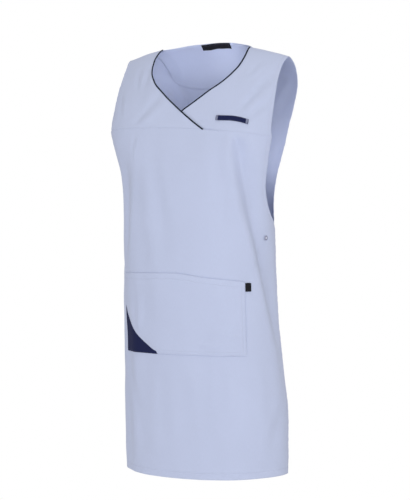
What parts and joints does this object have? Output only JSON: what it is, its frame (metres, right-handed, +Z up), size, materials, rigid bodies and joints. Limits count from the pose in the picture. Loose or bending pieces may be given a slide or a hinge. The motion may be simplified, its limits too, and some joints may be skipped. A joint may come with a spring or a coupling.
{
  "type": "medical tunic",
  "caption": "Sleeveless wrap-neck medical tunic, filled out as worn, with deep armholes, press-stud sides, a wide patch pocket, a pen pocket and contrast piping.",
  "frame": {"origin": "midway between the two neck points, the inner ends of the shoulder seams, where the wearer's shoulders hold the tunic", "axes": "+Z up, the front faces -Y, +X is the wearer's left"},
  "size_m": [0.3906, 0.2616, 0.9256],
  "materials": {
    "tunic_cloth": "smooth fine poplin, light blue",
    "navy_cloth": "smooth fine poplin, navy",
    "piping_cloth": "folded narrow binding, dark navy",
    "label_cloth": "woven ribbon, near black, left bare",
    "stud_plastic": "moulded, satin, pale blue"
  },
  "bodies": {
    "root": {"front_yoke_right": "tunic_cloth", "front_yoke_left": "tunic_cloth", "front_panel": "tunic_cloth", "back_panel": "tunic_cloth", "back_neck_facing": "tunic_cloth", "front_pocket": "tunic_cloth", "pocket_inset": "navy_cloth", "chest_welt": "navy_cloth", "piping_right": "piping_cloth", "piping_left": "piping_cloth", "pocket_tab": "label_cloth", "neck_label": "label_cloth", "stud_left": "stud_plastic", "stud_right": "stud_plastic", "stud_back_left": "stud_plastic", "stud_back_right": "stud_plastic"}
  },
  "joints": []
}
